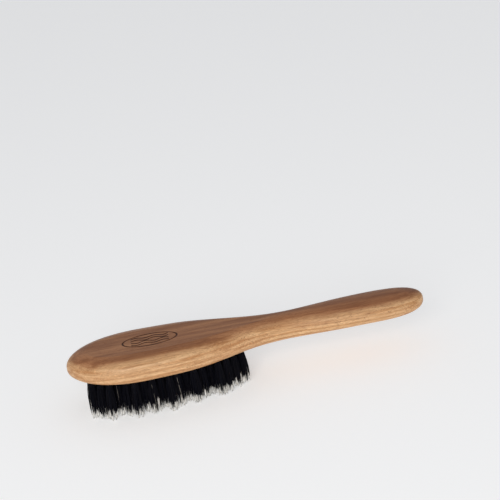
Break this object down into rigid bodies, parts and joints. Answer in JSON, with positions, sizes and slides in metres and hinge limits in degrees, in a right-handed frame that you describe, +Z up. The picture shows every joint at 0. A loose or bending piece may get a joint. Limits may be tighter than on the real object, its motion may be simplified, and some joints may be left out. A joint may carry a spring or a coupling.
{
  "type": "bristle brush",
  "caption": "Wooden hand brush for grooming a pet: a one-piece oval head and rounded handle, with tufts of stiff dark bristle set in the flat underside of the head.",
  "frame": {"origin": "on the surface that the bristle tips stand on, under the middle of the brush's length and width", "axes": "+X along the brush from the head to the handle, +Y across it, +Z up from the bristle tips to the back"},
  "size_m": [0.2224, 0.0504, 0.0392],
  "materials": {
    "wood": "satin, fine lengthwise grain",
    "bristle": "natural bristle, black with pale split tips",
    "anchor_wire": "plain drawn wire"
  },
  "bodies": {
    "root": {"anchor_row_01": "anchor_wire", "anchor_row_02": "anchor_wire", "anchor_row_03": "anchor_wire", "anchor_row_04": "anchor_wire", "anchor_row_05": "anchor_wire", "anchor_row_06": "anchor_wire", "anchor_row_07": "anchor_wire", "anchor_row_08": "anchor_wire", "anchor_row_09": "anchor_wire", "anchor_row_10": "anchor_wire", "anchor_row_11": "anchor_wire", "anchor_row_12": "anchor_wire", "anchor_row_13": "anchor_wire", "anchor_row_14": "anchor_wire", "anchor_row_15": "anchor_wire", "anchor_row_16": "anchor_wire", "anchor_row_17": "anchor_wire", "anchor_row_18": "anchor_wire", "anchor_row_19": "anchor_wire", "tuft_row_01": "bristle", "tuft_row_02": "bristle", "tuft_row_03": "bristle", "tuft_row_04": "bristle", "tuft_row_05": "bristle", "tuft_row_06": "bristle", "tuft_row_07": "bristle", "tuft_row_08": "bristle", "tuft_row_09": "bristle", "tuft_row_10": "bristle", "tuft_row_11": "bristle", "tuft_row_12": "bristle", "tuft_row_13": "bristle", "tuft_row_14": "bristle", "tuft_row_15": "bristle", "tuft_row_16": "bristle", "tuft_row_17": "bristle", "tuft_row_18": "bristle", "tuft_row_19": "bristle", "wooden_body": "wood"}
  },
  "joints": []
}
